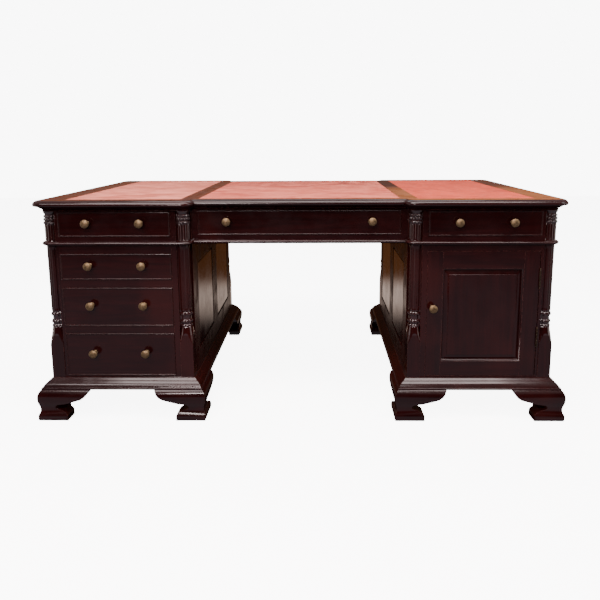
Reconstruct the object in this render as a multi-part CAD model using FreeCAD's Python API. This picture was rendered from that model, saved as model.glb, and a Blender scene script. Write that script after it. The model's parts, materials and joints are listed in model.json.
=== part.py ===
import FreeCAD, Part
import math
import os

# A pedestal writing desk: a breakfront top unit with three frieze drawers stands on two pedestals.
# The left pedestal holds three graduated drawers, the right one a cupboard with a panelled door.
# Millimetres.  X runs along the desk, -Y is the front, Z is up.  The origin is on the floor, under
# the middle of the desk.  The desk is built symmetric front to back and left to right, apart from
# what the pedestals hold.

# ---- driving dimensions -------------------------------------------------------------------------

HALF_DEPTH = 430.0          # middle of the desk to the front plane of the pedestals
STEP_DEPTH = 35.0           # how far the middle section stands back
PED_IN = 378.0              # inner face of a pedestal, from the middle of the desk
PED_OUT = 880.0             # outer face of a pedestal
CENTRE_FACE = HALF_DEPTH - STEP_DEPTH

# Heights above the floor.
FOOT_TOP = 111.0
PLINTH_TOP = 145.0
PED_TOP = 623.0
WAIST_TOP = 637.0
BED_BOTTOM = 742.0
TOP_BOTTOM = 760.0
TOP_HEIGHT = 780.0

# Top board and its leather writing panels.
SIDE_OVERHANG = 29.0
FRONT_OVERHANG = 36.0
TOP_CORNER = 42.0
STEP_OVERHANG = 23.0
LEATHER_THICK = 2.5
LEATHER_SIDE = 806.0        # outer edge of the side panels
LEATHER_SPLIT = (349.0, 408.0)
LEATHER_DEPTH = 409.0
LEATHER_CENTRE_DEPTH = 392.0

# Corner posts and columns.
POST_R = 21.0
POST_SET = 21.0             # post axis behind the front, back and outer faces
POST_SET_IN = 24.0          # post axis behind the kneehole face
POST_BACK = 21.0            # from the post axis to the stiles behind it
POST_CORE = 13.0            # how far the square core behind a shaft reaches outward
RECESS = POST_SET + POST_BACK
RECESS_IN = POST_SET_IN + POST_BACK
BLOCK_PROUD = 3.0
BLOCK_TOP = 275.0
SHOULDER_TOP = 329.0
COLUMN_R = 23.0             # short columns of the frieze
CAPITAL_BOTTOM = 694.0
CAPITAL_FLARE = 3.0
FIT = 0.3                   # play round curved parts

# Carcass boards.
FRAME_THICK = 22.0
SIDE_THICK = 20.0
BASE_RING = 45.0            # width of the plinth frame inside the faces
BOARD_THICK = 18.0

# Drawers: front width, then (name, bottom, height) from the floor.
DRAWER_X = (442.5, 827.5)
CENTRE_DRAWER_X = (-353.0, 353.0)
FRIEZE_Z = (654.0, 739.0)
PED_DRAWERS = (("bottom", 151.2, 306.9), ("middle", 334.8, 472.8), ("upper", 502.5, 593.0))
GAP = 1.0                   # play round a drawer front
FRONT_THICK = 20.0
BEAD_WIDE = 3.6
BEAD_PROUD = 2.6
BOX_DEPTH = 500.0           # overall length of a drawer
BOX_WALL = 12.0
BOX_FLOOR = 6.0
BOX_INSET = 1.2             # box side inside the edge of the front
BOX_LOWER = 12.0            # box side below the top of the front
RUNNER_THICK = 14.0
RUNNER_GAP = 0.4

# Side panels.
SIDE_STILE = 69.0
MUNTIN = 84.0
SIDE_PANEL_Z = (212.0, 539.0)
BACK_STILE = 62.0

# Door.
DOOR_X = (442.5, 826.5)
DOOR_Z = (151.5, 600.0)
DOOR_PANEL_X = (495.0, 774.0)
DOOR_PANEL_Z = (204.0, 540.0)
HINGE_X = 828.0
HINGE_OUT = 3.6             # hinge axis in front of the door's face
KNUCKLE_R = 3.2
PIN_R = 1.6
PIN_PLAY = 0.06
LEAF_THICK = 1.2
LEAF_DEEP = 18.0
HINGE_TOPS = (534.0, 324.0)
HINGE_TALL = 60.0
KNUCKLE_GAP = 0.4

# Knobs.
KNOB_SPREAD = 92.0          # either side of a pedestal drawer's middle
CENTRE_KNOB_SPREAD = 252.0
KNOB_LIFT = 0.055           # above the middle, as a share of the drawer's height
DOOR_KNOB = (462.0, 401.0)
KNOB_PROFILE = ((0, 0), (8.4, 0), (8.4, 1.6), (5.6, 3.2), (4.8, 8.0), (5.8, 13.0), (11.2, 16.6),
                (14.6, 19.4), (15.0, 21.6), (13.8, 24.0), (9.6, 26.6), (4.6, 27.8), (0, 28.2))

# Moulding sections as (outward, height).
NOSE = ((-6.0, 760.0), (-2.4, 761.0), (-0.4, 763.4), (0.0, 766.4), (-0.8, 769.8), (-3.0, 773.4),
        (-6.4, 776.6), (-10.6, 778.8), (-16.0, 780.0))
BED = ((0.6, 742.0), (3.2, 742.6), (4.8, 744.2), (5.0, 746.0), (4.0, 747.4), (5.6, 748.0), (7.4, 749.6),
       (11.0, 751.4), (15.4, 753.6), (18.6, 756.0), (20.0, 758.2), (20.4, 760.0))
WAIST = ((1.5, 623.0), (5.4, 623.4), (9.0, 625.2), (11.3, 627.6), (12.0, 630.0), (11.3, 632.4),
         (9.0, 634.8), (5.4, 636.6), (1.5, 637.0))
PLINTH = ((32.6, 111.0), (33.6, 112.4), (33.4, 116.4), (31.6, 117.6), (29.0, 118.2), (28.6, 119.8),
          (26.6, 123.8), (23.4, 128.0), (19.6, 131.8), (16.4, 134.4), (14.0, 136.2), (11.0, 138.2),
          (8.0, 141.0), (5.2, 143.4), (5.2, 145.0))
FOOT = ((41.6, 0.0), (44.2, 3.0), (45.0, 8.0), (45.0, 18.6), (43.0, 24.6), (39.6, 30.4), (38.4, 37.0),
        (38.2, 45.0), (39.6, 53.0), (42.0, 61.0), (44.0, 70.0), (45.0, 79.0), (45.0, 87.0),
        (43.8, 95.0), (41.2, 102.4), (36.8, 109.0), (34.4, 111.0))
# Scroll cut of a foot's bracket: (distance from the outer corner, height).
SCROLL = ((104.0, -5.0), (104.0, 19.0), (103.0, 22.0), (98.0, 28.0), (87.0, 34.0), (78.0, 38.0),
          (65.0, 41.0), (60.0, 45.0), (60.0, 49.0), (61.0, 53.0), (68.0, 58.0), (98.0, 62.0),
          (114.0, 66.6), (130.0, 71.0), (153.0, 78.0), (166.0, 87.0), (174.0, 97.0), (178.0, 106.0),
          (182.0, 113.0), (182.0, 118.0))
FOOT_REACH = 182.0
FOOT_WALL = 10.0            # thickness of the bracket behind the face
GLUE_BLOCK = 26.0
GLUE_LIFT = 6.0

SIDES = {"left": -1, "right": 1}


# ---- basic shapes -------------------------------------------------------------------------------

def vec(x, y, z):
    return FreeCAD.Vector(x, y, z)


def block(x, y, z):
    """A box between pairs of X, Y and Z, each in any order."""
    low = vec(min(x), min(y), min(z))
    size = [max(pair) - min(pair) for pair in (x, y, z)]
    return Part.makeBox(size[0], size[1], size[2], low)


def group(solids):
    """Separate solids that make one node."""
    return Part.makeCompound(solids)


def mirror_x(shape):
    return shape.mirror(vec(0, 0, 0), vec(1, 0, 0))


def mirror_y(shape):
    return shape.mirror(vec(0, 0, 0), vec(0, 1, 0))


def on_side(shape, side):
    """A shape drawn for the right half, or its mirror image for the left half."""
    if SIDES[side] > 0:
        return shape
    return mirror_x(shape)


def save(name, shape):
    if not shape.isValid():
        raise ValueError("invalid shape: " + name)
    shape.exportStep(os.path.join("parts", name + ".step"))


def polygon(points):
    return Part.makePolygon([vec(*point) for point in points] + [vec(*points[0])])


def turned(profile, x, y):
    """A solid turned about a vertical axis, from (radius, height) points."""
    points = [(0, 0, profile[0][1])]
    points += [(radius, 0, height) for radius, height in profile]
    points += [(0, 0, profile[-1][1])]
    face = Part.Face(polygon(points))
    solid = face.revolve(vec(0, 0, 0), vec(0, 0, 1), 360)
    solid.translate(vec(x, y, 0))
    return solid


def cylinder(x, y, z0, z1, radius):
    return Part.makeCylinder(radius, z1 - z0, vec(x, y, z0))


# ---- outlines -----------------------------------------------------------------------------------

def outline(corners, z):
    """A closed wire at height z through right-angled (x, y, radius) corners; radius 0 is sharp."""
    starts = []
    ends = []
    arcs = []
    for number, (x, y, radius) in enumerate(corners):
        corner = vec(x, y, z)
        before = vec(corners[number - 1][0], corners[number - 1][1], z) - corner
        after = corners[(number + 1) % len(corners)]
        beyond = vec(after[0], after[1], z) - corner
        before.normalize()
        beyond.normalize()
        start = corner + before * radius
        end = corner + beyond * radius
        starts.append(start)
        ends.append(end)
        if radius > 0:
            middle = corner + (before + beyond) * (radius * (1 - math.sqrt(0.5)))
            arcs.append(Part.Arc(start, middle, end).toShape())
        else:
            arcs.append(None)
    edges = []
    for number in range(len(corners)):
        if arcs[number] is not None:
            edges.append(arcs[number])
        following = (number + 1) % len(corners)
        edges.append(Part.LineSegment(ends[number], starts[following]).toShape())
    return Part.Wire(edges)


def breakfront(width, depth, step_x, step, radius, grow, z):
    """The desk's plan: full depth over the pedestals, stepped back between them."""
    far_x = width + grow
    far_y = depth + grow
    near_x = step_x - grow
    near_y = depth - step + grow
    bend = radius + grow
    quarter = ((near_x, near_y, 0), (near_x, far_y, bend), (far_x, far_y, bend))
    back_right = list(quarter)
    front_right = [(x, -y, r) for x, y, r in reversed(quarter)]
    front_left = [(-x, -y, r) for x, y, r in quarter]
    back_left = [(-x, y, r) for x, y, r in reversed(quarter)]
    return outline(back_right + front_right + front_left + back_left, z)


def top_plan(grow, z):
    step_x = PED_IN - STEP_OVERHANG
    return breakfront(PED_OUT + SIDE_OVERHANG, HALF_DEPTH + FRONT_OVERHANG, step_x, STEP_DEPTH,
                      TOP_CORNER, grow, z)


def body_plan(grow, z):
    return breakfront(PED_OUT, HALF_DEPTH, PED_IN, STEP_DEPTH, POST_R, grow, z)


def pedestal_plan(grow, z):
    """The right pedestal's plan, square at the corners."""
    x = (PED_IN - grow, PED_OUT + grow)
    y = HALF_DEPTH + grow
    return outline([(x[0], -y, 0), (x[1], -y, 0), (x[1], y, 0), (x[0], y, 0)], z)


def stack(plan, section):
    """A solid whose plan grows with height as the (outward, height) section says."""
    wires = [plan(outward, height) for outward, height in section]
    return Part.makeLoft(wires, True, True)


def prism(plan, grow, z0, z1):
    return stack(plan, ((grow, z0), (grow, z1)))


# ---- top unit -----------------------------------------------------------------------------------

def leather_areas():
    """Names, X ranges and half depths of the three writing panels."""
    inner, outer = LEATHER_SPLIT
    return (("leather_left", (-LEATHER_SIDE, -outer), LEATHER_DEPTH),
            ("leather_centre", (-inner, inner), LEATHER_CENTRE_DEPTH),
            ("leather_right", (outer, LEATHER_SIDE), LEATHER_DEPTH))


def make_top():
    board = stack(top_plan, NOSE)
    pocket_z = (TOP_HEIGHT - LEATHER_THICK, TOP_HEIGHT + 5)
    for name, x, depth in leather_areas():
        board = board.cut(block(x, (-depth, depth), pocket_z))
        save(name, block(x, (-depth, depth), (TOP_HEIGHT - LEATHER_THICK, TOP_HEIGHT - 0.3)))
    save("top_board", board)
    bed = stack(body_plan, BED).cut(prism(body_plan, 0, BED_BOTTOM - 5, TOP_BOTTOM + 5))
    save("bed_moulding", bed)
    waist = stack(body_plan, WAIST).cut(prism(body_plan, 0, PED_TOP - 5, WAIST_TOP + 5))
    save("waist_moulding", waist)


def post_places():
    """Axes of a pedestal's four posts, on the right half: (end name, x, y)."""
    places = []
    for depth_name, sy in (("front", -1), ("back", 1)):
        for width_name, x in (("inner", PED_IN + POST_SET_IN), ("outer", PED_OUT - POST_SET)):
            places.append((depth_name + "_" + width_name, x, sy * (HALF_DEPTH - POST_SET)))
    return places


def clear_posts(shape, radius, z0, z1):
    """Hollows a board where the round posts stand."""
    for name, x, y in post_places():
        for side in SIDES.values():
            shape = shape.cut(cylinder(side * x, y, z0, z1, radius + FIT))
    return shape


def clear_columns(shape):
    shape = clear_posts(shape, COLUMN_R, PED_TOP, TOP_BOTTOM)
    return clear_posts(shape, COLUMN_R + CAPITAL_FLARE, CAPITAL_BOTTOM, BED_BOTTOM)


def both_halves(shape):
    return [shape, mirror_x(shape)]


def make_frieze_front():
    """Rails and stiles round the three frieze drawers."""
    open_low = FRIEZE_Z[0] - GAP
    open_high = FRIEZE_Z[1] + GAP
    y = (-HALF_DEPTH, -HALF_DEPTH + FRAME_THICK)
    centre_y = (-CENTRE_FACE, -CENTRE_FACE + FRAME_THICK)
    x = (PED_IN + RECESS_IN, PED_OUT - RECESS)
    opening = (DRAWER_X[0] - GAP, DRAWER_X[1] + GAP)
    solids = []
    for z in ((PED_TOP, open_low), (open_high, TOP_BOTTOM)):
        solids += both_halves(clear_columns(block(x, y, z)))
        solids.append(clear_columns(block((-PED_IN, PED_IN), centre_y, z)))
    for ends in ((x[0], opening[0]), (opening[1], x[1])):
        solids += both_halves(clear_columns(block(ends, y, (open_low, open_high))))
    stile = block((CENTRE_DRAWER_X[1] + GAP, PED_IN), centre_y, (open_low, open_high))
    solids += both_halves(clear_columns(stile))
    save("frieze_front_frame", group(solids))


def make_frieze_back():
    """The back boards of the frieze, each with an applied bead like a drawer's."""
    z = (PED_TOP, TOP_BOTTOM)
    back = block((PED_IN + RECESS_IN, PED_OUT - RECESS), (HALF_DEPTH - FRAME_THICK, HALF_DEPTH), z)
    solids = both_halves(clear_columns(back))
    centre = block((-PED_IN, PED_IN), (CENTRE_FACE - FRAME_THICK, CENTRE_FACE), z)
    solids.append(clear_columns(centre))
    for bead in both_halves(bead_frame(DRAWER_X, FRIEZE_Z, -HALF_DEPTH)):
        solids.append(mirror_y(bead))
    solids.append(mirror_y(bead_frame(CENTRE_DRAWER_X, FRIEZE_Z, -CENTRE_FACE)))
    save("frieze_back_boards", group(solids))


def make_frieze_sides():
    """Outer side boards, and the partitions beside the middle drawer."""
    y = (-HALF_DEPTH + RECESS, HALF_DEPTH - RECESS)
    z = (PED_TOP, TOP_BOTTOM)
    outer = clear_columns(block((PED_OUT - SIDE_THICK, PED_OUT), y, z))
    save("frieze_side_boards", group(both_halves(outer)))
    inner = clear_columns(block((PED_IN, PED_IN + SIDE_THICK), (-CENTRE_FACE, CENTRE_FACE), z))
    save("frieze_partitions", group(both_halves(inner)))


def column_profile():
    """A short frieze column: core, shaft and a ringed capital that overhangs the shaft."""
    core = POST_R - FIT
    foot = WAIST_TOP + FIT
    head = BED_BOTTOM - FIT
    tip = COLUMN_R + CAPITAL_FLARE
    return ((core, PED_TOP), (core, foot), (COLUMN_R, foot), (COLUMN_R, CAPITAL_BOTTOM + 2),
            (tip - 0.5, 698.0), (tip, 701.5), (tip - 2.0, 706.0), (tip - 2.4, 709.0), (tip - 1.0, 713.0),
            (tip - 2.2, 717.5), (tip - 2.4, 721.0), (tip - 1.4, 724.5), (tip - 2.4, 728.0),
            (tip - 2.2, 733.0), (tip - 1.0, 738.0), (tip - 1.0, head), (core, head), (core, TOP_BOTTOM))


def make_columns():
    solids = []
    for name, x, y in post_places():
        column = turned(column_profile(), x, y)
        solids += both_halves(column)
    save("frieze_columns", group(solids))


def make_frieze_runners():
    """Strips that carry the three frieze drawers."""
    box_bottom = FRIEZE_Z[0] + BOX_INSET
    z = (box_bottom - RUNNER_GAP - RUNNER_THICK, box_bottom - RUNNER_GAP)
    y = (-HALF_DEPTH + RECESS + 8, HALF_DEPTH - RECESS - 8)
    inside = (PED_IN + SIDE_THICK, PED_OUT - SIDE_THICK)
    low = (inside[0], DRAWER_X[0] + BOX_INSET + BOX_WALL)
    high = (DRAWER_X[1] - BOX_INSET - BOX_WALL, inside[1])
    solids = both_halves(block(low, y, z)) + both_halves(block(high, y, z))
    centre = (CENTRE_DRAWER_X[1] - BOX_INSET - BOX_WALL, PED_IN)
    centre_y = CENTRE_FACE - FRAME_THICK
    solids += both_halves(block(centre, (-centre_y, centre_y), z))
    save("frieze_drawer_runners", group(solids))


# ---- pedestals ----------------------------------------------------------------------------------

def post_solid(x, y):
    """A post turned from a square block: plain foot, shoulder, three rings and a shaft."""
    out_x = 1 if x > (PED_IN + PED_OUT) / 2 else -1
    out_y = 1 if y > 0 else -1
    back_x = x - out_x * POST_BACK
    back_y = y - out_y * POST_BACK
    face_x = x + out_x * (POST_SET + BLOCK_PROUD)
    face_y = y + out_y * (POST_SET + BLOCK_PROUD)
    square = block((face_x, back_x), (face_y, back_y), (PLINTH_TOP, SHOULDER_TOP))
    shoulder = ((40.0, PLINTH_TOP), (40.0, BLOCK_TOP - 8), (33.5, BLOCK_TOP), (28.5, 293.0),
                (24.5, 312.0), (22.0, 324.0), (21.0, SHOULDER_TOP))
    square = square.common(turned(shoulder, x, y))
    low = SHOULDER_TOP - 1
    round_part = ((POST_R, low), (POST_R, 331.0), (POST_R + 1.5, 334.0), (POST_R, 337.5),
                  (POST_R - 2.5, 341.5), (POST_R, 345.0), (POST_R + 2.0, 349.0), (POST_R, 353.5),
                  (POST_R - 2.5, 361.0), (POST_R, 370.0), (POST_R + 2.0, 376.0), (POST_R, 382.0),
                  (POST_R - 0.5, 388.0), (POST_R - 0.5, PED_TOP))
    core = block((x + out_x * POST_CORE, back_x), (y + out_y * POST_CORE, back_y), (low, PED_TOP))
    corner = block((face_x + out_x, back_x), (face_y + out_y, back_y), (low, PED_TOP))
    upper = turned(round_part, x, y).fuse(core).common(corner)
    return square.fuse(upper).removeSplitter()


def make_posts(side):
    solids = [on_side(post_solid(x, y), side) for name, x, y in post_places()]
    save(side + "_corner_posts", group(solids))


def raised_panel(x, z, face_y, edge, bevel, thick):
    """A fielded panel facing -Y: its edge lies back by edge, and the bevel is that wide."""
    plate = block(x, (face_y + edge, face_y + thick), z)
    rings = []
    for inset, y in ((1.0, face_y + edge), (bevel - 1.5, face_y + 2.2), (bevel - 1.5, face_y + 0.6),
                     (bevel, face_y)):
        points = [(x[0] + inset, y, z[0] + inset), (x[1] - inset, y, z[0] + inset),
                  (x[1] - inset, y, z[1] - inset), (x[0] + inset, y, z[1] - inset)]
        rings.append(polygon(points))
    field = Part.makeLoft(rings, True, True)
    return plate.fuse(field).removeSplitter()


def framed(x, z, opening_x, opening_z, y):
    """Two stiles and two rails round an opening."""
    return [block((x[0], opening_x[0]), y, z), block((opening_x[1], x[1]), y, z),
            block(opening_x, y, (z[0], opening_z[0])), block(opening_x, y, (opening_z[1], z[1]))]


def side_frame():
    """A pedestal's side, drawn flat: it faces -Y, and X runs from the desk's front to its back."""
    ends = (-HALF_DEPTH + RECESS, HALF_DEPTH - RECESS)
    y = (0, SIDE_THICK)
    z = (PLINTH_TOP, PED_TOP)
    first = (ends[0] + SIDE_STILE, -MUNTIN / 2)
    second = (MUNTIN / 2, ends[1] - SIDE_STILE)
    solids = [block((ends[0], first[0]), y, z), block((second[1], ends[1]), y, z)]
    solids.append(block((first[1], second[0]), y, SIDE_PANEL_Z))
    for rail_z in ((z[0], SIDE_PANEL_Z[0]), (SIDE_PANEL_Z[1], z[1])):
        solids.append(block((first[0], second[1]), y, rail_z))
    for panel_x in (first, second):
        solids.append(raised_panel(panel_x, SIDE_PANEL_Z, 1.0, 4.0, 9.0, SIDE_THICK - 5))
    return solids


def make_sides(side):
    """The kneehole side and the outer side, each with two panels between its stiles."""
    inner = []
    outer = []
    for solid in side_frame():
        turned_in = solid.copy()
        turned_in.rotate(vec(0, 0, 0), vec(0, 0, 1), -90)
        turned_in.translate(vec(PED_IN, 0, 0))
        inner.append(on_side(turned_in, side))
        turned_out = solid.copy()
        turned_out.rotate(vec(0, 0, 0), vec(0, 0, 1), 90)
        turned_out.translate(vec(PED_OUT, 0, 0))
        outer.append(on_side(turned_out, side))
    save(side + "_kneehole_side", group(inner))
    save(side + "_outer_side", group(outer))


def make_back(side):
    """The back of a pedestal: a frame with one fielded panel."""
    x = (PED_IN + RECESS_IN, PED_OUT - RECESS)
    opening = (x[0] + BACK_STILE, x[1] - BACK_STILE)
    front = (-HALF_DEPTH, -HALF_DEPTH + FRAME_THICK)
    solids = framed(x, (PLINTH_TOP, PED_TOP), opening, SIDE_PANEL_Z, front)
    solids.append(raised_panel(opening, SIDE_PANEL_Z, -HALF_DEPTH + 2.0, 9.0, 24.0, 18.0))
    placed = [on_side(mirror_y(solid), side) for solid in solids]
    save(side + "_back", group(placed))


def make_front(side, openings):
    """Stiles and rails of a pedestal's front; openings are (low, high) heights."""
    x = (PED_IN + RECESS_IN, PED_OUT - RECESS)
    edge = (DRAWER_X[0] - GAP, DRAWER_X[1] + GAP)
    y = (-HALF_DEPTH, -HALF_DEPTH + FRAME_THICK)
    solids = []
    if side == "right":
        edge = (DOOR_X[0] - GAP, HINGE_X + 0.3 + LEAF_THICK)
    for ends in ((x[0], edge[0]), (edge[1], x[1])):
        solids.append(block(ends, y, (PLINTH_TOP, PED_TOP)))
    low = PLINTH_TOP
    for opening in openings:
        solids.append(block(edge, y, (low, opening[0])))
        low = opening[1]
    solids.append(block(edge, y, (low, PED_TOP)))
    placed = [on_side(solid, side) for solid in solids]
    save(side + "_front_frame", group(placed))


def make_base(side):
    """The plinth frame and the bottom board inside it."""
    ring = stack(pedestal_plan, PLINTH)
    ring = ring.cut(prism(pedestal_plan, -BASE_RING, FOOT_TOP - 5, PLINTH_TOP + 5))
    save(side + "_plinth", on_side(ring, side))
    board = prism(pedestal_plan, -BASE_RING, PLINTH_TOP - BOARD_THICK, PLINTH_TOP)
    save(side + "_bottom_board", on_side(board, side))


def foot_solid():
    """An ogee bracket foot at the right pedestal's front outer corner, with its glue block."""
    inner_x = PED_OUT + FOOT[2][0] - FOOT_REACH
    inner_y = -HALF_DEPTH - FOOT[2][0] + FOOT_REACH

    def plan(grow, z):
        x = (inner_x, PED_OUT + grow)
        y = (-HALF_DEPTH - grow, inner_y)
        return outline([(x[0], y[0], 0), (x[1], y[0], 0), (x[1], y[1], 0), (x[0], y[1], 0)], z)

    solid = stack(plan, FOOT)
    pocket = block((inner_x - 5, PED_OUT - FOOT_WALL), (-HALF_DEPTH + FOOT_WALL, inner_y + 5),
                   (-5, FOOT_TOP + 5))
    solid = solid.cut(pocket)
    corner_x = PED_OUT + FOOT[2][0]
    corner_y = -HALF_DEPTH - FOOT[2][0]
    points = list(SCROLL) + [(FOOT_REACH + 20, SCROLL[-1][1]), (FOOT_REACH + 20, SCROLL[0][1])]
    along_x = Part.Face(polygon([(corner_x - s, corner_y - 5, z) for s, z in points]))
    front_cut = along_x.extrude(vec(0, -corner_y - HALF_DEPTH + FOOT_WALL + 10, 0))
    along_y = Part.Face(polygon([(corner_x + 5, corner_y + s, z) for s, z in points]))
    side_cut = along_y.extrude(vec(-(corner_x - PED_OUT + FOOT_WALL + 10), 0, 0))
    solid = solid.cut(front_cut).cut(side_cut)
    glue_x = PED_OUT - FOOT_WALL
    glue_y = -HALF_DEPTH + FOOT_WALL
    glue = block((glue_x - GLUE_BLOCK, glue_x), (glue_y, glue_y + GLUE_BLOCK), (GLUE_LIFT, FOOT_TOP))
    return solid, glue


def make_feet(side):
    solids = foot_solid()
    middle = (PED_IN + PED_OUT) / 2
    for name, x, y in post_places():
        placed = []
        for solid in solids:
            if x < middle:
                solid = solid.mirror(vec(middle, 0, 0), vec(1, 0, 0))
            if y > 0:
                solid = mirror_y(solid)
            placed.append(on_side(solid, side))
        save(side + "_" + name + "_foot", group(placed))


def make_left_inside():
    """Drawer runners of the left pedestal, and the dust board over them."""
    inside = (PED_IN + SIDE_THICK, PED_OUT - SIDE_THICK)
    y = (-HALF_DEPTH + RECESS + 5, HALF_DEPTH - RECESS - 5)
    solids = []
    for name, low, high in PED_DRAWERS:
        top = low + BOX_INSET - RUNNER_GAP
        z = (max(top - RUNNER_THICK, PLINTH_TOP), top)
        solids.append(block((inside[0], DRAWER_X[0] + BOX_INSET + BOX_WALL), y, z))
        solids.append(block((DRAWER_X[1] - BOX_INSET - BOX_WALL, inside[1]), y, z))
    solids.append(dust_board())
    save("left_drawer_runners", group([mirror_x(solid) for solid in solids]))


def dust_board():
    inside = (PED_IN + SIDE_THICK, PED_OUT - SIDE_THICK)
    y = (-HALF_DEPTH + RECESS + 5, HALF_DEPTH - RECESS - 5)
    return block(inside, y, (PED_TOP - 14, PED_TOP - 8))


def make_cupboard_inside():
    """The cupboard's shelf and the dust board that is its ceiling."""
    inside = (PED_IN + SIDE_THICK, PED_OUT - SIDE_THICK)
    shelf = block(inside, (-330, HALF_DEPTH - RECESS - 5), (372, 372 + BOARD_THICK))
    save("cupboard_boards", group([shelf, dust_board()]))


# ---- drawers ------------------------------------------------------------------------------------

def bead_frame(x, z, face_y):
    """The cock bead round a drawer front: a slim rounded strip that stands proud of the face."""
    w = BEAD_WIDE
    top = face_y - BEAD_PROUD
    rings = []
    for inset, y in ((0.0, face_y), (0.0, top + 1.2), (1.1, top), (w - 1.1, top), (w, top + 1.2),
                     (w, face_y)):
        points = [(x[0] + inset, y, z[0] + inset), (x[1] - inset, y, z[0] + inset),
                  (x[1] - inset, y, z[1] - inset), (x[0] + inset, y, z[1] - inset)]
        rings.append(polygon(points))
    outside = Part.makeLoft(rings[:3], True, True)
    inside = Part.makeLoft([rings[5], rings[4], rings[3]], True, True)
    return outside.cut(inside)


def drawer_front(x, z, face_y):
    board = block(x, (face_y, face_y + FRONT_THICK), z)
    return board.fuse(bead_frame(x, z, face_y)).removeSplitter()


def drawer_box(x, z, face_y):
    """Two sides, a back and a floor between them, behind the drawer's front."""
    side_z = (z[0] + BOX_INSET, z[1] - BOX_LOWER)
    y = (face_y + FRONT_THICK, face_y + BOX_DEPTH)
    low = x[0] + BOX_INSET
    high = x[1] - BOX_INSET
    floor_z = (side_z[0] + 6, side_z[0] + 6 + BOX_FLOOR)
    within = (low + BOX_WALL, high - BOX_WALL)
    return [block((low, low + BOX_WALL), y, side_z), block((high - BOX_WALL, high), y, side_z),
            block(within, (y[1] - BOX_WALL, y[1]), side_z),
            block(within, (y[0], y[1] - BOX_WALL), floor_z)]


def knob(x, z, face_y):
    solid = turned(KNOB_PROFILE, 0, 0)
    solid.rotate(vec(0, 0, 0), vec(1, 0, 0), 90)
    solid.translate(vec(x, face_y, z))
    return solid


def make_drawer(name, x, z, face_y, spread):
    middle = (x[0] + x[1]) / 2
    knob_z = (z[0] + z[1]) / 2 + KNOB_LIFT * (z[1] - z[0])
    save(name + "_front", drawer_front(x, z, face_y))
    save(name + "_box", group(drawer_box(x, z, face_y)))
    knobs = [knob(middle + side * spread, knob_z, face_y) for side in (-1, 1)]
    save(name + "_knobs", group(knobs))


def make_drawers():
    left_x = (-DRAWER_X[1], -DRAWER_X[0])
    make_drawer("left_frieze_drawer", left_x, FRIEZE_Z, -HALF_DEPTH, KNOB_SPREAD)
    make_drawer("right_frieze_drawer", DRAWER_X, FRIEZE_Z, -HALF_DEPTH, KNOB_SPREAD)
    make_drawer("centre_drawer", CENTRE_DRAWER_X, FRIEZE_Z, -CENTRE_FACE, CENTRE_KNOB_SPREAD)
    for name, low, high in PED_DRAWERS:
        make_drawer(name + "_drawer", left_x, (low, high), -HALF_DEPTH, KNOB_SPREAD)


# ---- door ---------------------------------------------------------------------------------------

def knuckles(first, z_top):
    """Heights of a hinge's knuckles: the frame's two outer ones, or the door's middle one."""
    third = HINGE_TALL / 3
    low = z_top - HINGE_TALL
    if first:
        return ((low, low + third - KNUCKLE_GAP), (z_top - third + KNUCKLE_GAP, z_top))
    return ((low + third, z_top - third),)


def leaf(for_frame, z_top):
    """One leaf of a butt hinge with its knuckles, bored for the pin."""
    axis_y = -HALF_DEPTH - HINGE_OUT
    if for_frame:
        x = (HINGE_X + 0.3, HINGE_X + 0.3 + LEAF_THICK)
    else:
        x = (HINGE_X - 0.3 - LEAF_THICK, HINGE_X - 0.3)
    plate = block(x, (-HALF_DEPTH + 0.2, -HALF_DEPTH + LEAF_DEEP), (z_top - HINGE_TALL, z_top))
    solid = plate
    for low, high in knuckles(for_frame, z_top):
        solid = solid.fuse(cylinder(HINGE_X, axis_y, low, high, KNUCKLE_R))
        solid = solid.fuse(block(x, (axis_y, -HALF_DEPTH + 1), (low, high)))
    bore = cylinder(HINGE_X, axis_y, z_top - HINGE_TALL - 5, z_top + 5, PIN_R + PIN_PLAY)
    return solid.cut(bore).removeSplitter()


def hinge_pin(z_top):
    """A pin with a small ball at each end, standing just clear of the knuckles."""
    low = z_top - HINGE_TALL
    ball = ((PIN_R, 0.2), (2.4, 0.2), (2.9, 1.4), (2.4, 2.8), (1.6, 3.6), (2.2, 4.8), (1.6, 6.4), (0.6, 7.0))
    upper = [(radius, z_top + height) for radius, height in ball]
    lower = [(radius, low - height) for radius, height in reversed(ball)]
    return turned(lower + upper, HINGE_X, -HALF_DEPTH - HINGE_OUT)


def make_door():
    y = (-HALF_DEPTH, -HALF_DEPTH + FRAME_THICK)
    save("door_frame", group(framed(DOOR_X, DOOR_Z, DOOR_PANEL_X, DOOR_PANEL_Z, y)))
    panel = raised_panel(DOOR_PANEL_X, DOOR_PANEL_Z, -HALF_DEPTH + 2.0, 9.0, 24.0, 17.0)
    save("door_panel", panel)
    save("door_knob", knob(DOOR_KNOB[0], DOOR_KNOB[1], -HALF_DEPTH))
    save("door_hinge_leaves", group([leaf(False, top) for top in HINGE_TOPS]))
    save("frame_hinge_leaves", group([leaf(True, top) for top in HINGE_TOPS]))
    save("hinge_pins", group([hinge_pin(top) for top in HINGE_TOPS]))


def build():
    os.makedirs("parts", exist_ok=True)
    make_top()
    make_frieze_front()
    make_frieze_back()
    make_frieze_sides()
    make_columns()
    make_frieze_runners()
    for side in SIDES:
        make_posts(side)
        make_sides(side)
        make_back(side)
        make_base(side)
        make_feet(side)
    make_front("left", [(low - GAP, high + GAP) for name, low, high in PED_DRAWERS])
    make_front("right", [(DOOR_Z[0] - GAP, DOOR_Z[1] + GAP)])
    make_left_inside()
    make_cupboard_inside()
    make_drawers()
    make_door()


build()
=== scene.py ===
import json
import math
from functools import partial

import bpy
from mathutils import Matrix, Vector


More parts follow.
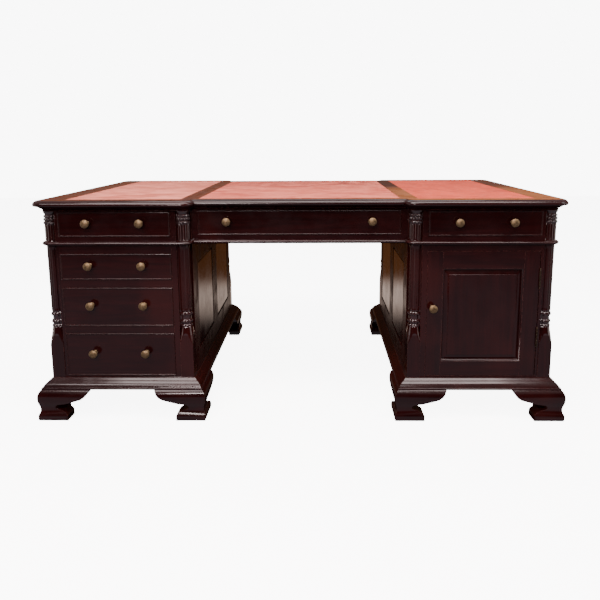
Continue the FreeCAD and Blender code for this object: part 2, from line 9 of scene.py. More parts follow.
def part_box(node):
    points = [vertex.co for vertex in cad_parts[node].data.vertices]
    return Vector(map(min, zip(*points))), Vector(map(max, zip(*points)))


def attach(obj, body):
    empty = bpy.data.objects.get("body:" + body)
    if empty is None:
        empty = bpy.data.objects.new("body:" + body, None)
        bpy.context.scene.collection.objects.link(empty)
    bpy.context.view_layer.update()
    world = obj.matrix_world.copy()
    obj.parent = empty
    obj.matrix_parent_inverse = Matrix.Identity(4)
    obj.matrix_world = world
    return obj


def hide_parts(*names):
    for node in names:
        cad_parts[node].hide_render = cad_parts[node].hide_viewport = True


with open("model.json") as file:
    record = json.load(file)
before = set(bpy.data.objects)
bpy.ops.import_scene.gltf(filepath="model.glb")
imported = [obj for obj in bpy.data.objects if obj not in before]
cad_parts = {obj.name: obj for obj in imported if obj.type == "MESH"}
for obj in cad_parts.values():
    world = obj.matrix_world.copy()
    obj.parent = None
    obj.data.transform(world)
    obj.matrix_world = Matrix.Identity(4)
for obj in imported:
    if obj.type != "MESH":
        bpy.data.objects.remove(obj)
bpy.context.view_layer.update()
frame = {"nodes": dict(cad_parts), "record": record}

# The looks of a breakfront pedestal desk: polished mahogany, red leather and aged brass.
# Metres, in the CAD frame: X along the desk, -Y the front, Z up, the floor at zero.

# ---- named sizes --------------------------------------------------------------------------------

# The camera: low, a little right of the middle, looking slightly down. Angles are in degrees.
CAMERA_PLACE = (0.063, -2.249, 0.982)
CAMERA_PITCH = 8.51
CAMERA_YAW = 0.67
CAMERA_ROLL = -0.25
CAMERA_LENS = 32.4
CAMERA_SHIFT = (-0.0187, -0.1333)

MM = 0.001

# Joinery, as in the CAD.
SIDE_STILE = 69 * MM            # stiles, muntin and rails of a pedestal's side
MUNTIN = 84 * MM
LOW_RAIL = 71 * MM
TOP_RAIL = 84 * MM
PANEL_Z = (212 * MM, 539 * MM)  # lowest and highest points of the kneehole sides' panels
KNEEHOLE = 400 * MM             # just past the pedestals' kneehole faces, from the middle
LEATHER_SIDE = 806 * MM         # outer edge of the side writing panels, from the middle
LEATHER_SPLIT = (349 * MM, 408 * MM)    # the wood between the middle writing panel and a side one
SEAM = 0.5 * MM                 # how soon the grain turns at a joint in the top

# How far edges are rounded: less on frames and sides, whose long joints would show as pale lines.
EASE = 0.7 * MM
FINE_EASE = 0.25 * MM
EASE_ANGLE = 38                 # the least turn that counts as an edge, in degrees

# Posts, from their axes.
BLOCK_OUT = 24 * MM             # outward faces of the square block
BLOCK_BACK = 21 * MM            # the stiles behind a post
CORE_OUT = 13 * MM              # outward faces of the square core behind a round shaft
SHAFT_R = 20.5 * MM
SHAFT_FLUTES = 18
FLUTE_DEPTH = 1.5 * MM
FLUTE_ENDS = (12 * MM, 18 * MM)         # stretches at the shaft's two ends where the flutes run out
RING_LOBES = 10

# Carving, in millimetres: heights with radii, and rows of beads as (height, half height, swell).
SHOULDER = ((267, 34.0), (275, 32.0), (287, 28.2), (303, 25.0), (317, 22.6), (329, 21.0))
SHOULDER_FOOT = 262
SHOULDER_TOP = 329
NECK_R = 18.0
RING_BANDS = ((334, 4.4, 4.6), (349, 6.6, 5.0), (376, 7.2, 5.0))
RINGS_TOP = 388
CARVED_Z = (300, 389)           # the stretch of a post under the bright coat of polish
FLUTE_RISE = 8                  # how gently a flute starts and ends
CAPITAL = ((695, 22.4), (697, 23.8), (699, 25.4), (701.5, 25.9), (704, 24.6), (706.5, 20.2), (728.5, 19.8),
           (733, 22.0), (738, 25.0), (742, 25.4))
CAPITAL_BANDS = ((713, 5.4, 5.6), (724, 4.4, 4.8))
CAPITAL_NECK = 19.8
LEAVES_TOP = 706                # above the leaf tips that hang over the reeds

# Frieze columns.
COLUMN_FOOT = 637.3 * MM
COLUMN_TOP = 741.7 * MM
COLUMN_ROWS = (646 * MM, 693 * MM, 730 * MM)    # where plain reeds start and end, and the beads end
COLUMN_BACK = 23 * MM           # the frame behind a column, from its axis
CAPITAL_BACK = 26 * MM
CAPITAL_Z = 694 * MM
REED_R = 22.6                   # in millimetres, as the carving
REED_DEPTH = 1.9
COLUMN_REEDS = 12

LATHE_STEPS = 144
PANEL_MOULD = 7 * MM            # radius of the moulding round the door's panel
MOULD_STEPS = 6

WARM_LIGHT = (1.0, 0.87, 0.85)
BACKDROP = 9.0
FLOOR_GLOW = 8.8                # with the floor's tone it matches the backdrop

NODES = frame["nodes"]
SIDES = {"left": -1, "right": 1}


# ---- node helpers -------------------------------------------------------------------------------

class Shader:
    """A material's node tree with short ways to add and join nodes."""

    def __init__(self, owner):
        """The owner is a new material's name, or a world."""
        self.material = bpy.data.materials.new(owner) if isinstance(owner, str) else owner
        self.material.use_nodes = True
        self.tree = self.material.node_tree
        self.bsdf = self.tree.nodes.get("Principled BSDF")

    def add(self, kind, inputs=None, **settings):
        node = self.tree.nodes.new(kind)
        for key, value in settings.items():
            setattr(node, key, value)
        for key, value in (inputs or {}).items():
            self.put(node, key, value)
        return node

    def put(self, node, key, value):
        """Sets a socket to a value, or joins it to another node's socket."""
        socket = node.inputs[key]
        if hasattr(value, "is_output"):
            self.tree.links.new(value, socket)
        else:
            socket.default_value = value

    def math(self, operation, first, second=0.0, clamp=False):
        node = self.add("ShaderNodeMath", {0: first, 1: second}, operation=operation, use_clamp=clamp)
        return node.outputs[0]

    def vector_math(self, operation, first, second, output=0):
        node = self.add("ShaderNodeVectorMath", {0: first, 1: second}, operation=operation)
        return node.outputs[output]

    def noise(self, vector, scale, detail=4.0, roughness=0.55, distortion=0.0):
        node = self.add("ShaderNodeTexNoise", {"Vector": vector, "Scale": scale, "Detail": detail,
                                               "Roughness": roughness, "Distortion": distortion})
        return node.outputs["Fac"]

    def ramp(self, value, low, high, out_low=0.0, out_high=1.0):
        """A smooth step from low to high."""
        node = self.add("ShaderNodeMapRange", {0: value, 1: low, 2: high, 3: out_low, 4: out_high},
                        interpolation_type="SMOOTHSTEP")
        return node.outputs[0]

    def mix(self, factor, first, second):
        node = self.add("ShaderNodeMix", data_type="RGBA")
        for key, value in ((0, factor), (6, first), (7, second)):
            self.put(node, key, value)
        return node.outputs[2]

    def scaled(self, vector, scale):
        return self.vector_math("MULTIPLY", vector, scale)

    def position(self):
        return self.add("ShaderNodeTexCoord").outputs["Object"]

    def edges(self, radius):
        """About 1 on an outward or inward edge and 0 on a flat face."""
        rounded = self.add("ShaderNodeBevel", {"Radius": radius}, samples=6).outputs[0]
        flat = self.add("ShaderNodeNewGeometry").outputs["Normal"]
        alike = self.vector_math("DOT_PRODUCT", rounded, flat, output=1)
        return self.ramp(alike, 0.995, 0.86)

    def bump(self, height, strength, distance, normal=None):
        node = self.add("ShaderNodeBump", {"Height": height, "Strength": strength, "Distance": distance})
        if normal is not None:
            self.put(node, "Normal", normal)
        return node.outputs[0]


def colour(red, green, blue):
    return (red, green, blue, 1.0)


# ---- materials ----------------------------------------------------------------------------------

def grain_axes(shader, axis):
    """Coordinates with the grain along the given axis drawn out, so that a pattern follows it."""
    stretch = {"x": (0.06, 1.0, 1.0), "y": (1.0, 0.06, 1.0), "z": (1.0, 1.0, 0.06)}[axis]
    return shader.scaled(shader.position(), stretch)


def wood_figure(shader, axis):
    """Ribbon figure, finer streaks and short dark pores along the grain."""
    grain = grain_axes(shader, axis)
    ribbon = shader.noise(grain, 26.0, 5.0, 0.6, 1.4)
    streak = shader.noise(grain, 190.0, 6.0, 0.65, 0.3)
    pores = shader.noise(grain, 900.0, 3.0, 0.7)
    figure = shader.math("ADD", shader.math("MULTIPLY", ribbon, 0.6), shader.math("MULTIPLY", streak, 0.4))
    return figure, streak, pores


def polish(shader, base, streak, pores, gloss, wear_and_highlight):
    """Paler edges, partly rubbed wear and partly a painted highlight, hand smears in the polish, and a
    surface that isn't quite flat.
    """
    place = shader.position()
    edge = shader.edges(1.6 * MM)
    edge_patches = shader.ramp(shader.noise(place, 70.0, 4.0, 0.7), 0.36, 0.62)
    worn_and_highlit = shader.math("MULTIPLY", shader.math("MULTIPLY", edge, edge_patches), wear_and_highlight)
    # The edges turn a paler red-brown: partly rubbed wear, partly a painted highlight along mouldings and
    # beads.
    base = shader.mix(worn_and_highlit, base, colour(0.16, 0.060, 0.050))
    smear = shader.noise(place, 14.0, 4.0, 0.6)
    rough = shader.ramp(smear, 0.3, 0.7, gloss * 0.75, gloss * 1.5)
    rough = shader.math("ADD", rough, shader.math("MULTIPLY", worn_and_highlit, 0.15))
    height = shader.math("SUBTRACT", shader.math("MULTIPLY", streak, 0.35), pores)
    normal = shader.bump(height, 0.035, 0.2 * MM)
    normal = shader.bump(shader.noise(place, 7.0, 2.0), 0.010, 2.0 * MM, normal)
    shader.put(shader.bsdf, "Base Color", base)
    shader.put(shader.bsdf, "Roughness", rough)
    shader.put(shader.bsdf, "Normal", normal)
    shader.put(shader.bsdf, "Specular IOR Level", 0.34)


def mahogany(name, axis, gloss=0.14, wear_and_highlight=0.35):
    """Old dark mahogany, nearly black, with red showing through in clouds."""
    shader = Shader(name)
    figure, streak, pores = wood_figure(shader, axis)
    cloud = shader.noise(shader.position(), 4.0, 3.0, 0.5)
    base = shader.mix(shader.ramp(figure, 0.34, 0.68), colour(0.0075, 0.0010, 0.0012),
                      colour(0.0150, 0.0019, 0.0020))
    base = shader.mix(shader.ramp(cloud, 0.46, 0.74, 0.0, 0.5), base, colour(0.030, 0.0042, 0.0034))
    base = shader.mix(shader.ramp(pores, 0.60, 0.72, 0.0, 0.35), base, colour(0.006, 0.0012, 0.0012))
    polish(shader, base, streak, pores, gloss, wear_and_highlight)
    return shader.material


def dull_mahogany(name, axis):
    """The same wood where the polish has worn thin, so that it mirrors little at a low angle."""
    material = mahogany(name, axis, 0.26, 0.3)
    material.node_tree.nodes["Principled BSDF"].inputs["IOR"].default_value = 1.14
    return material


def carved_mahogany(name, axis):
    """The carved posts: the same wood under a bright coat of polish."""
    # Paler edges weigh more here: partly rubbed wear, partly a painted highlight on the carved beads and
    # rings.
    material = mahogany(name, axis, 0.09, 0.5)
    inputs = material.node_tree.nodes["Principled BSDF"].inputs
    inputs["Coat Weight"].default_value = 0.7
    inputs["Coat Roughness"].default_value = 0.04
    return material


def blend(shader, factor, first, second):
    """A number that goes from the first to the second."""
    rest = shader.math("SUBTRACT", 1.0, factor)
    return shader.math("ADD", shader.math("MULTIPLY", first, rest), shader.math("MULTIPLY", second, factor))


def top_grain(shader, across):
    """Grain that runs along the front and back borders, and from front to back on the others."""
    side = shader.math("ABSOLUTE", across)
    outer = shader.ramp(side, LEATHER_SIDE, LEATHER_SIDE + SEAM)
    inner, beyond = LEATHER_SPLIT
    divider = shader.math("MULTIPLY", shader.ramp(side, inner - SEAM, inner),
                          shader.ramp(side, beyond + SEAM, beyond))
    turned = shader.math("ADD", outer, divider, clamp=True)
    both = zip(wood_figure(shader, "x"), wood_figure(shader, "y"))
    return [blend(shader, turned, along, deep) for along, deep in both]


def top_mahogany():
    """The top's borders: browner, turning gold toward the right front and darker toward the right rear."""
    shader = Shader("top_mahogany")
    place = shader.add("ShaderNodeSeparateXYZ", {0: shader.position()})
    across, deep = place.outputs[0], place.outputs[1]
    figure, streak, pores = top_grain(shader, across)
    base = shader.mix(shader.ramp(figure, 0.36, 0.66), colour(0.046, 0.012, 0.008),
                      colour(0.095, 0.028, 0.014))
    golden = shader.math("MULTIPLY", shader.ramp(across, -0.1, 0.5), shader.ramp(deep, 0.15, -0.15))
    base = shader.mix(shader.math("MULTIPLY", golden, 0.8), base, colour(0.26, 0.090, 0.030))
    dusky = shader.math("MULTIPLY", shader.ramp(across, 0.15, 0.35), shader.ramp(deep, -0.02, 0.12))
    dusky = shader.math("MULTIPLY", dusky, shader.ramp(across, 0.60, 0.75, 1.0, 0.3))
    base = shader.mix(dusky, base, colour(0.022, 0.006, 0.005))
    base = shader.mix(shader.ramp(pores, 0.60, 0.72, 0.0, 0.5), base, colour(0.030, 0.010, 0.008))
    polish(shader, base, streak, pores, 0.28, 0.3)
    return shader.material


WOOD = {axis: mahogany("mahogany_along_" + axis, axis) for axis in "xyz"}
CARVED_WOOD = carved_mahogany("carved_mahogany", "z")
DULL_WOOD = {axis: dull_mahogany("dull_mahogany_along_" + axis, axis) for axis in "xyz"}
TOP_WOOD = top_mahogany()


def lining():
    """Plain waxed cedar-brown wood inside the drawers and the carcass."""
    shader = Shader("drawer_lining")
    place = shader.position()
    grain = grain_axes(shader, "y")
    ribbon = shader.noise(grain, 34.0, 5.0, 0.6, 2.0)
    pores = shader.noise(grain, 700.0, 3.0, 0.7)
    base = shader.mix(shader.ramp(ribbon, 0.35, 0.65), colour(0.17, 0.085, 0.042),
                      colour(0.30, 0.165, 0.085))
    base = shader.mix(shader.ramp(pores, 0.6, 0.72, 0.0, 0.6), base, colour(0.07, 0.032, 0.016))
    edge = shader.edges(1.2 * MM)
    base = shader.mix(shader.math("MULTIPLY", edge, 0.35), base, colour(0.10, 0.05, 0.028))
    rough = shader.ramp(shader.noise(place, 20.0), 0.3, 0.7, 0.5, 0.68)
    shader.put(shader.bsdf, "Base Color", base)
    shader.put(shader.bsdf, "Roughness", rough)
    shader.put(shader.bsdf, "Normal", shader.bump(pores, 0.3, 0.2 * MM))
    return shader.material


def leather(name, deep, pale, blot_strength):
    """Old hide: streaky and mottled, with darker blotches that grow toward the back, a fine pebble, a dull
    polish.
    """
    shader = Shader(name)
    place = shader.position()
    mottle = shader.noise(shader.scaled(place, (1.0, 2.4, 1.0)), 8.0, 6.0, 0.62, 1.2)
    fine = shader.noise(place, 60.0, 5.0, 0.7, 0.6)
    base = shader.mix(shader.ramp(mottle, 0.34, 0.66), deep, pale)
    deep_place = shader.add("ShaderNodeSeparateXYZ", {0: place}).outputs[1]
    back = shader.ramp(deep_place, -0.15, 0.35, 0.08, 1.0)
    blots = shader.noise(shader.scaled(place, (1.0, 3.0, 1.0)), 14.0, 6.0, 0.7, 0.8)
    blots = shader.math("MULTIPLY", shader.ramp(blots, 0.44, 0.60), back)
    base = shader.mix(shader.math("MULTIPLY", blots, blot_strength), base, colour(0.17, 0.020, 0.018))
    base = shader.mix(shader.ramp(fine, 0.45, 0.75, 0.0, 0.35), base, colour(0.74, 0.28, 0.20))
    pebble = shader.add("ShaderNodeTexVoronoi", {"Vector": place, "Scale": 620.0, "Randomness": 1.0},
                        feature="SMOOTH_F1").outputs["Distance"]
    base = shader.mix(shader.ramp(pebble, 0.25, 0.75, 0.0, 0.2), base, colour(0.20, 0.030, 0.026))
    height = shader.math("SUBTRACT", shader.math("MULTIPLY", fine, 0.5), pebble)
    normal = shader.bump(height, 0.35, 0.35 * MM)
    normal = shader.bump(shader.noise(place, 7.0, 2.0), 0.15, 1.5 * MM, normal)
    shader.put(shader.bsdf, "Base Color", base)
    shader.put(shader.bsdf, "Roughness", shader.ramp(mottle, 0.3, 0.7, 0.42, 0.58))
    shader.put(shader.bsdf, "Normal", normal)
    shader.put(shader.bsdf, "Specular IOR Level", 0.2)
    return shader.material


def brass(name, dull, bright):
    """Aged brass: brown patina in the hollows, rubbed metal on the rims, fine pitting."""
    shader = Shader(name)
    place = shader.position()
    patch = shader.noise(place, 140.0, 5.0, 0.65)
    pits = shader.noise(place, 1500.0, 3.0, 0.6)
    base = shader.mix(shader.ramp(patch, 0.36, 0.66), dull, bright)
    base = shader.mix(shader.ramp(pits, 0.58, 0.74, 0.0, 0.6), base, colour(0.10, 0.066, 0.036))
    edge = shader.edges(1.0 * MM)
    base = shader.mix(shader.math("MULTIPLY", edge, 0.3), base, colour(0.55, 0.45, 0.30))
    shader.put(shader.bsdf, "Base Color", base)
    shader.put(shader.bsdf, "Roughness", shader.ramp(patch, 0.3, 0.7, 0.38, 0.52))
    shader.put(shader.bsdf, "Metallic", 0.85)
    shader.put(shader.bsdf, "Normal", shader.bump(pits, 0.25, 0.15 * MM))
    return shader.material


LINING = lining()
LEATHER = {
    "leather_left": leather("leather_left_hide", colour(0.46, 0.110, 0.076), colour(0.72, 0.240, 0.176),
                            0.25),
    "leather_centre": leather("leather_centre_hide", colour(0.44, 0.068, 0.043), colour(0.68, 0.185, 0.128),
                              1.0),
    "leather_right": leather("leather_right_hide", colour(0.42, 0.048, 0.025), colour(0.64, 0.082, 0.044),
                             0.35)}
BRASS = brass("antique_brass", colour(0.105, 0.070, 0.036), colour(0.175, 0.119, 0.064))
DARK_BRASS = brass("blackened_brass", colour(0.022, 0.013, 0.008), colour(0.045, 0.028, 0.018))


# ---- CAD nodes: smooth shading, eased edges and a material with the right grain -----------------

def ease(node):
    """Joins the node's split corners and rounds its sharp edges. The front frames stay as they are,
    because rounding them leaves a long triangle with slanted shading."""
    mesh = node.data
    if "custom_normal" in mesh.attributes:
        mesh.attributes.remove(mesh.attributes["custom_normal"])
    if node.name.endswith("front_frame"):
        mesh.shade_flat()
        return
    mesh.shade_smooth()
    weld = node.modifiers.new("weld", "WELD")
    weld.merge_threshold = 0.01 * MM
    bevel = node.modifiers.new("ease", "BEVEL")
    bevel.width = FINE_EASE if node.name.endswith(("frame", "side", "back")) else EASE
    bevel.segments = 2
    bevel.limit_method = "ANGLE"
    bevel.angle_limit = math.radians(EASE_ANGLE)
    even = node.modifiers.new("even", "WEIGHTED_NORMAL")
    even.weight = 100


def paint(node, materials, choose):
    """Gives each face one of the materials; choose takes the middle of the face."""
    mesh = node.data
    mesh.materials.clear()
    for material in materials:
        mesh.materials.append(material)
    for face in mesh.polygons:
        face.material_index = choose(face.center)


def paint_plain(node, material):
    paint(node, [material], lambda middle: 0)


def paint_framed(name, filling):
    """A frame's stiles, beside what fills it, run up; the rails between them run across."""
    low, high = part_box(filling)
    paint(NODES[name], [WOOD["x"], WOOD["z"]], lambda middle: int(not low[0] < middle.x < high[0]))


def paint_fronts():
    paint_framed("left_front_frame", "bottom_drawer_front")
    paint_framed("right_front_frame", "door_frame")
    paint_framed("door_frame", "door_panel")
    paint_plain(NODES["door_panel"], WOOD["z"])
    paint_plain(NODES["frieze_front_frame"], WOOD["x"])
    paint_plain(NODES["frieze_back_boards"], WOOD["x"])


def paint_base(node, out):
    """A plinth or foot: dull on its kneehole side, polished elsewhere."""
    paint(node, [WOOD["x"], DULL_WOOD["y"]], lambda middle: 0)
    for face in node.data.polygons:
        if face.normal.x * out < -0.45 and abs(face.center.x) < KNEEHOLE:
            face.material_index = 1


def paint_kneehole(side):
    """The kneehole side's two panels are glossier than the stiles and rails round them."""
    low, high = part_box(side + "_kneehole_side")
    centre = (low[1] + high[1]) / 2
    reach = (high[1] - low[1]) / 2 - SIDE_STILE

    def choose(middle):
        in_panel = MUNTIN / 2 < abs(middle.y - centre) < reach
        if in_panel and PANEL_Z[0] < middle.z < PANEL_Z[1]:
            return 0
        return 1 if in_panel else 2

    paint(NODES[side + "_kneehole_side"], [WOOD["z"], DULL_WOOD["y"], DULL_WOOD["z"]], choose)


def paint_railed(name, rail):
    """Rails above and below the panels run along the given axis, and the rest runs up."""
    low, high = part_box(name)
    paint(NODES[name], [WOOD[rail], WOOD["z"]],
          lambda middle: int(low[2] + LOW_RAIL < middle.z < high[2] - TOP_RAIL))


def paint_pedestals():
    for side, out in SIDES.items():
        paint_railed(side + "_outer_side", "y")
        paint_railed(side + "_back", "x")
        paint_kneehole(side)
        for name in ("plinth", "front_inner_foot", "front_outer_foot", "back_inner_foot", "back_outer_foot"):
            paint_base(NODES[side + "_" + name], out)
    paint_plain(NODES["frieze_side_boards"], WOOD["y"])


def paint_top():
    """The top's upper face is its own faded wood, and its moulded edge is like the rest."""
    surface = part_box("top_board")[1].z - 0.1 * MM
    paint(NODES["top_board"], [WOOD["x"], TOP_WOOD], lambda middle: int(middle.z > surface))
    paint_plain(NODES["bed_moulding"], DULL_WOOD["x"])
    paint_plain(NODES["waist_moulding"], WOOD["x"])
    for name, hide in LEATHER.items():
        paint_plain(NODES[name], hide)


def paint_rest():
    """Drawers, brass and the boards inside, chosen by name or by the record's material slots."""
    for part in frame["record"]["subparts"]:
        name = part["node"]
        if name.endswith("_drawer_front"):
            paint_plain(NODES[name], WOOD["x"])
        elif name == "frieze_partitions":
            paint_plain(NODES[name], WOOD["z"])
        elif part["material_slot"] == "drawer_lining":
            paint_plain(NODES[name], LINING)
        elif "hinge" in name:
            paint_plain(NODES[name], DARK_BRASS)
        elif part["material_slot"] == "antique_brass":
            paint_plain(NODES[name], BRASS)


# ---- carved posts and columns -------------------------------------------------------------------

def blend_points(points, value):
    """The smooth curve through (place, amount) points, by cosine steps."""
    if value <= points[0][0]:
        return points[0][1]
    for (left, first), (right, second) in zip(points, points[1:]):
        if value <= right:
            share = (value - left) / (right - left)
            share = 0.5 - 0.5 * math.cos(math.pi * share)
            return first + (second - first) * share
    return points[-1][1]


def lathe(name, axis, heights, radius_at, corners, carved):
    """A closed solid round a vertical axis, whose radius depends on angle and height. Corners are points
    of its outline that need an angle of their own, and carved is the stretch that has the bright polish."""
    angles = [2 * math.pi * step / LATHE_STEPS for step in range(LATHE_STEPS)]
    angles = sorted(angles + [math.atan2(y, x) % (2 * math.pi) for x, y in corners])
    count = len(angles)
    vertices = []
    faces = []
    for z in heights:
        for angle in angles:
            radius = radius_at(angle, z)
            vertices.append((axis[0] + radius * math.cos(angle), axis[1] + radius * math.sin(angle), z))
    for row in range(len(heights) - 1):
        for step in range(count):
            after = (step + 1) % count
            here = row * count
            faces.append((here + step, here + after, here + count + after, here + count + step))
    faces.append(tuple(reversed(range(count))))
    faces.append(tuple(range(len(vertices) - count, len(vertices))))
    mesh = bpy.data.meshes.new(name)
    mesh.from_pydata(vertices, [], faces)
    mesh.materials.append(WOOD["z"])
    mesh.materials.append(CARVED_WOOD)
    for face in mesh.polygons:
        face.material_index = int(carved[0] < face.center.z < carved[1])
    mesh.shade_smooth()
    piece = bpy.data.objects.new(name, mesh)
    bpy.context.scene.collection.objects.link(piece)
    mesh.set_sharp_from_angle(angle=math.radians(50))
    return piece


def spread(low, high, count):
    return [low + (high - low) * step / count for step in range(count)]


def flutes(angle, count, depth):
    """Hollow flutes with narrow flats between them."""
    wave = 0.5 - 0.5 * math.cos(angle * count)
    return -depth * wave ** 0.8


def square_reach(angle, out, outward, backward):
    """From a post's axis to a square whose faces lie outward and backward of it; out gives the signs of
    the outward directions."""
    cosine = math.cos(angle) * out[0]
    sine = math.sin(angle) * out[1]
    across = (outward if cosine > 0 else backward) / max(abs(cosine), 1e-6)
    along = (outward if sine > 0 else backward) / max(abs(sine), 1e-6)
    return min(across, along)


def bead_row(angle, height, band, count):
    """How far a row of carved beads swells out, in millimetres."""
    middle, half, swell = band
    rise = 1 - ((height - middle) / half) ** 2
    if rise <= 0:
        return 0.0
    bead = abs(math.cos(angle * count / 2)) ** 0.75
    return swell * math.sqrt(rise) * (0.1 + 0.9 * bead)


def round_radius(angle, height, top):
    """The carved rings and the fluted shaft, in metres, at a height in millimetres."""
    if height < RINGS_TOP:
        radius = NECK_R + max(bead_row(angle, height, band, RING_LOBES) for band in RING_BANDS)
        start = max(0.0, 1 - (height - SHOULDER_TOP) / 2)
        finish = max(0.0, 1 - (RINGS_TOP - height) / 4)
        return max(radius, NECK_R + 3.0 * start, NECK_R + 2.5 * finish) * MM
    fade = max(0.0, min(1.0, (height - RINGS_TOP) / FLUTE_RISE, (top - 6 - height) / FLUTE_RISE))
    return SHAFT_R + flutes(angle, SHAFT_FLUTES, FLUTE_DEPTH * fade)


def post_radius(angle, z, out, top):
    """A post: square block, shoulder, carved rings, then a fluted shaft with a square core behind it."""
    height = z / MM
    if height <= SHOULDER_TOP:
        return min(square_reach(angle, out, BLOCK_OUT, BLOCK_BACK), blend_points(SHOULDER, height) * MM)
    core = square_reach(angle, out, CORE_OUT, BLOCK_BACK)
    radius = max(core, round_radius(angle, height, top / MM))
    return min(radius, square_reach(angle, out, 1.0, BLOCK_BACK))


def post_heights(low, high):
    """Rows up a post, close together where it is carved."""
    foot, shoulder, rings = SHOULDER_FOOT * MM, SHOULDER_TOP * MM, RINGS_TOP * MM
    flutes_low, flutes_high = rings + FLUTE_ENDS[0], high - FLUTE_ENDS[1]
    marks = spread(low, foot, 3) + spread(foot, shoulder, 16) + spread(shoulder, rings, 44)
    marks += spread(rings, flutes_low, 6) + spread(flutes_low, flutes_high, 6)
    return marks + spread(flutes_high, high, 10) + [high]


def axes_of(side):
    """Where a pedestal's four posts stand, each with the signs of its outward directions."""
    low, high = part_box(side + "_corner_posts")
    across = ((low[0] + BLOCK_OUT, -1), (high[0] - BLOCK_OUT, 1))
    deep = ((low[1] + BLOCK_OUT, -1), (high[1] - BLOCK_OUT, 1))
    return [((x, y), (out_x, out_y)) for x, out_x in across for y, out_y in deep]


def corners_of(out, outward, backward):
    """The two corners of a square where its outward and backward faces meet."""
    return [(-out[0] * backward, out[1] * outward), (out[0] * outward, -out[1] * backward)]


def ride_and_replace(piece, body, node):
    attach(piece, body)
    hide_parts(node)


def join(pieces, name):
    """Joins meshes into one piece, keeping its separate solids."""
    main = pieces[0]
    with bpy.context.temp_override(active_object=main, selected_editable_objects=pieces):
        bpy.ops.object.join()
    main.name = name
    return main


def carve_posts():
    for side in SIDES:
        low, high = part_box(side + "_corner_posts")
        parts = []
        for axis, out in axes_of(side):
            corners = corners_of(out, BLOCK_OUT, BLOCK_BACK) + corners_of(out, CORE_OUT, BLOCK_BACK)
            parts.append(lathe(side + "_post", axis, post_heights(low[2], high[2]),
                               partial(post_radius, out=out, top=high[2]), corners,
                               [height * MM for height in CARVED_Z]))
        ride_and_replace(join(parts, side + "_carved_posts"), "carcass", side + "_corner_posts")


def column_radius(angle, z, out):
    """A frieze column with the square core that closes the corner behind it."""
    behind = COLUMN_BACK if z < CAPITAL_Z else CAPITAL_BACK
    return max(reeded_radius(angle, z), square_reach(angle, out, CORE_OUT, behind))


def reeded_radius(angle, z):
    """A reeded shaft, and a capital whose scalloped leaf tips hang over the reeds."""
    height = z / MM
    valley = 1 - abs(math.cos(angle * COLUMN_REEDS / 2)) ** 0.8
    if height < CAPITAL_Z / MM:
        fade = max(0.0, min(1.0, (height - COLUMN_FOOT / MM) / 5))
        return (REED_R - REED_DEPTH * fade * valley) * MM
    if height < LEAVES_TOP:
        radius = blend_points(CAPITAL, height - 3.5 * valley)
        return (radius - 2.4 * valley) * MM
    beads = max(bead_row(angle, height, band, COLUMN_REEDS) for band in CAPITAL_BANDS)
    return max(blend_points(CAPITAL, height), CAPITAL_NECK + beads) * MM


def carve_columns():
    reeds_low, reeds_high, carving_high = COLUMN_ROWS
    heights = spread(COLUMN_FOOT, reeds_low, 6) + spread(reeds_low, reeds_high, 3)
    heights += spread(reeds_high, carving_high, 52) + spread(carving_high, COLUMN_TOP, 8) + [COLUMN_TOP]
    parts = []
    for side in SIDES:
        for axis, out in axes_of(side):
            parts.append(lathe("column", axis, heights, partial(column_radius, out=out),
                               corners_of(out, CORE_OUT, COLUMN_BACK), (COLUMN_FOOT, COLUMN_TOP)))
    ride_and_replace(join(parts, "carved_frieze_columns"), "carcass", "frieze_columns")


def mitred_frame(name, x, z, section, material):
    """A rectangular frame facing -Y, from a closed section of (inset, y) points."""
    vertices = []
    for inset, y in section:
        left, right, low, high = x[0] + inset, x[1] - inset, z[0] + inset, z[1] - inset
        vertices += [(left, y, low), (right, y, low), (right, y, high), (left, y, high)]
    faces = []
    count = len(section)
    for row in range(count):
        for corner in range(4):
            beside = (corner + 1) % 4
            here = row * 4
            there = (row + 1) % count * 4
            faces.append((here + corner, here + beside, there + beside, there + corner))
    mesh = bpy.data.meshes.new(name)
    mesh.from_pydata(vertices, [], faces)
    mesh.materials.append(material)
    mesh.shade_smooth()
    mesh.set_sharp_from_angle(angle=math.radians(40))
    piece = bpy.data.objects.new(name, mesh)
    bpy.context.scene.collection.objects.link(piece)
    return piece


def mould_door():
    """A slim rounded moulding planted in the corner between the door's frame and its panel."""
    low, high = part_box("door_panel")
    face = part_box("door_frame")[0][1]
    section = [(0.0, face + 9.0 * MM), (0.0, face + 0.2 * MM), (1.0 * MM, face + 0.2 * MM)]
    for step in range(1, MOULD_STEPS + 1):
        angle = math.radians(90 * step / MOULD_STEPS)
        deep = PANEL_MOULD * (1 - math.cos(angle))
        section.append((PANEL_MOULD * math.sin(angle), face + 1.4 * MM + deep))
    section.append((PANEL_MOULD, face + 10.5 * MM))
    piece = mitred_frame("door_panel_moulding", (low[0], high[0]), (low[2], high[2]), section, WOOD["x"])
    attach(piece, "door")


# ---- floor, light and camera --------------------------------------------------------------------

def make_floor():
    """A plain pale floor, as bright as the backdrop, that isn't mirrored in the polish."""
    bpy.ops.mesh.primitive_plane_add(size=14.0, location=(0, 0, -0.0005))
    floor = bpy.context.object
    floor.name = "studio_floor"
    shader = Shader("floor_paint")
    tone = shader.noise(shader.position(), 3.0, 3.0)
    paint_tone = shader.mix(tone, colour(0.86, 0.86, 0.86), colour(0.9, 0.9, 0.9))
    shader.put(shader.bsdf, "Base Color", paint_tone)
    shader.put(shader.bsdf, "Roughness", 0.9)
    shader.put(shader.bsdf, "Specular IOR Level", 0.1)
    shader.put(shader.bsdf, "Emission Color", paint_tone)
    shader.put(shader.bsdf, "Emission Strength", FLOOR_GLOW)
    floor.data.materials.append(shader.material)
    floor.visible_glossy = False
    floor.visible_diffuse = False


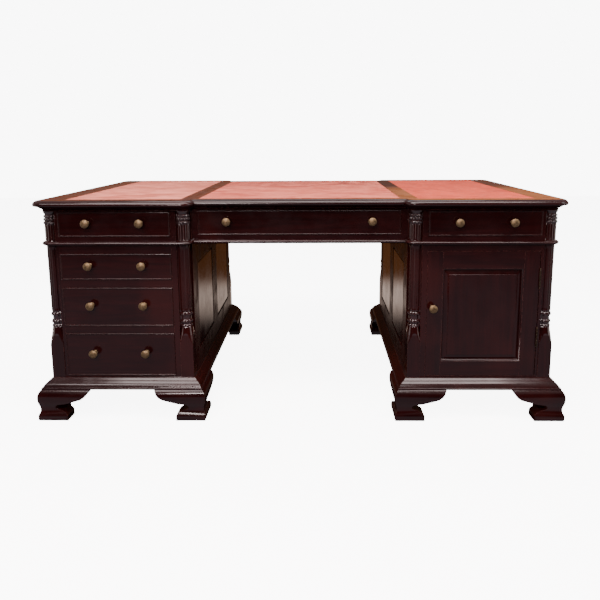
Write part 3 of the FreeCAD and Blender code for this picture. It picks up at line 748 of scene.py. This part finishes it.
def area_light(name, place, aim, size, power, tint=(1.0, 1.0, 1.0)):
    light = bpy.data.lights.new(name, "AREA")
    light.shape = "RECTANGLE"
    light.size, light.size_y = size
    light.energy = power
    light.color = tint
    lamp = bpy.data.objects.new(name, light)
    lamp.location = place
    lamp.rotation_euler = (Vector(aim) - Vector(place)).to_track_quat("-Z", "Y").to_euler()
    bpy.context.scene.collection.objects.link(lamp)


def make_world():
    """A pale backdrop, and round the desk a dim warm room with a brighter patch low at the back."""
    world = bpy.data.worlds.new("studio")
    bpy.context.scene.world = world
    shader = Shader(world)
    way = shader.add("ShaderNodeSeparateXYZ", {0: shader.add("ShaderNodeTexCoord").outputs["Generated"]})
    height = way.outputs[2]
    back = shader.mix(shader.ramp(height, -0.335, -0.285), colour(0.01, 0.006, 0.006),
                      colour(1.0, 0.76, 0.64))
    back = shader.mix(shader.ramp(height, -0.270, -0.245), back, colour(0.165, 0.060, 0.022))
    back = shader.mix(shader.ramp(height, -0.05, 0.10), back, colour(0.235, 0.098, 0.050))
    front = shader.mix(shader.ramp(height, -0.27, -0.15), colour(0.50, 0.45, 0.50),
                       colour(0.02, 0.015, 0.015))
    room = shader.mix(shader.ramp(way.outputs[1], -0.1, 0.3), front, back)
    room = shader.mix(shader.ramp(height, 0.25, 0.6), room, colour(0.62, 0.60, 0.60))
    aside = shader.ramp(shader.math("ABSOLUTE", way.outputs[0]), 0.86, 0.93)
    level = shader.math("MULTIPLY", shader.ramp(height, -0.34, -0.22), shader.ramp(height, 0.30, 0.15))
    room = shader.mix(shader.math("MULTIPLY", aside, level), room, colour(1.6, 1.4, 1.35))
    seen = shader.add("ShaderNodeLightPath").outputs["Is Camera Ray"]
    sky = shader.tree.nodes["Background"]
    shader.put(sky, "Color", shader.mix(seen, room, colour(BACKDROP, BACKDROP, BACKDROP)))
    shader.put(sky, "Strength", 1.0)


def make_lights():
    area_light("key", (-0.7, -2.9, 2.7), (0, -0.3, 0.5), (3.4, 0.45), 90, WARM_LIGHT)
    area_light("overhead", (0, -1.35, 3.1), (0, -0.35, 0.6), (3.6, 1.0), 165, WARM_LIGHT)
    area_light("fill", (2.8, -1.6, 2.0), (0, 0, 0.5), (1.2, 1.6), 25)
    area_light("front", (-1.0, -4.0, 1.7), (0, -0.4, 0.5), (0.9, 0.35), 75, WARM_LIGHT)
    area_light("rear", (0, 0.9, 3.3), (0, 0, 0.7), (3.0, 1.0), 40)


def make_camera():
    data = bpy.data.cameras.new("camera")
    data.lens = CAMERA_LENS
    data.sensor_width = 36.0
    data.shift_x, data.shift_y = CAMERA_SHIFT
    data.dof.use_dof = False
    camera = bpy.data.objects.new("camera", data)
    turn = Matrix.Rotation(math.radians(CAMERA_YAW), 4, "Z")
    turn = turn @ Matrix.Rotation(math.radians(90 - CAMERA_PITCH), 4, "X")
    turn = turn @ Matrix.Rotation(math.radians(CAMERA_ROLL), 4, "Z")
    camera.matrix_world = Matrix.Translation(CAMERA_PLACE) @ turn
    bpy.context.scene.collection.objects.link(camera)
    bpy.context.scene.camera = camera


make_camera()
make_floor()
make_world()
make_lights()
paint_fronts()
paint_pedestals()
paint_top()
paint_rest()
for cad_node in NODES.values():
    ease(cad_node)
carve_posts()
carve_columns()
mould_door()
